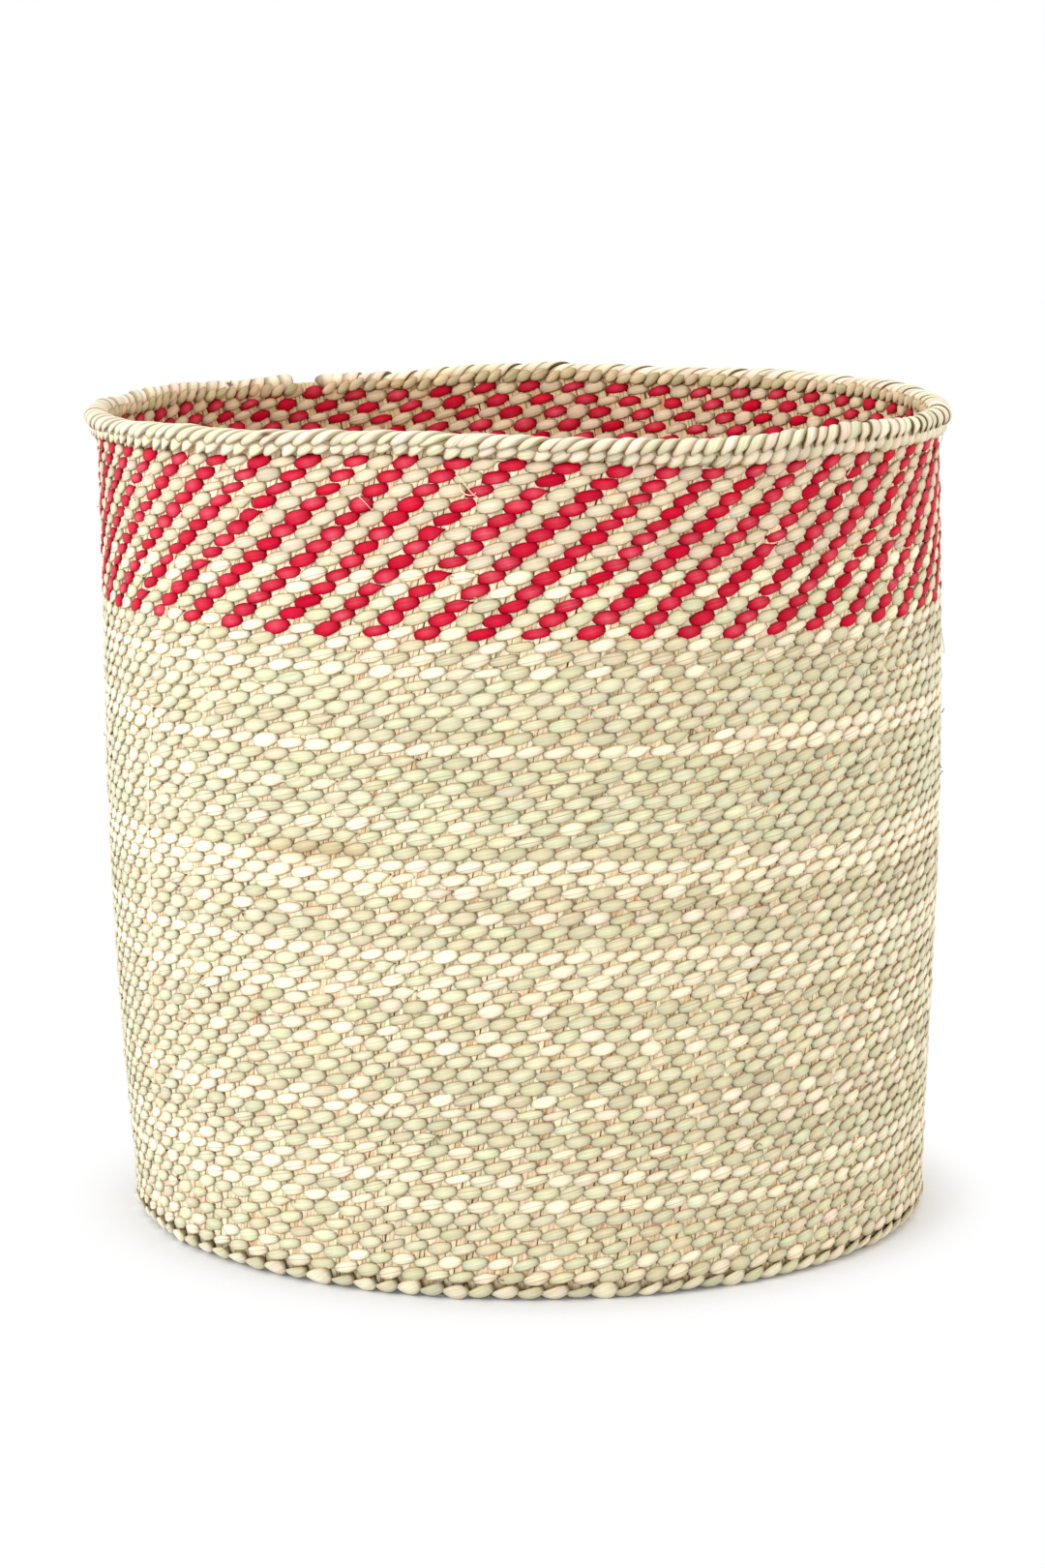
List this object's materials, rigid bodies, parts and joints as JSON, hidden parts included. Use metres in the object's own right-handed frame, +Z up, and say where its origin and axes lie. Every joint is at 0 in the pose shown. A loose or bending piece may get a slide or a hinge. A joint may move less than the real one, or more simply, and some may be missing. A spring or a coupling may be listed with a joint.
{
  "type": "twined storage basket",
  "caption": "Round open-topped twined basket with straight sides, a striped band and a rolled border, for storage.",
  "frame": {"origin": "middle of the ring that the basket stands on, at its lowest level", "axes": "+Z up through the open top; -Y is the side that the picture shows; the border's join is at the back left"},
  "size_m": [0.33, 0.33, 0.313],
  "materials": {
    "stakes": "matt dried grass stems",
    "natural_weft": "matt flat grass strands, pale green and cream",
    "striped_weft": "matt dyed grass strands, crimson with natural",
    "inside_weft": "matt flat grass strands, tan",
    "border": "satin folded grass strands, pale cream"
  },
  "bodies": {
    "root": {"stakes": "stakes", "edge_ridge_weft": "natural_weft", "base_weft_under": "natural_weft", "base_weft_inside": "inside_weft", "lower_weft_outside": "natural_weft", "middle_weft_outside": "natural_weft", "upper_weft_outside": "natural_weft", "striped_weft_outside": "striped_weft", "lower_weft_inside": "inside_weft", "middle_weft_inside": "inside_weft", "upper_weft_inside": "inside_weft", "striped_weft_inside": "striped_weft", "border_row_outside": "border", "border_row_inside": "border", "border_rope": "border"}
  },
  "joints": []
}
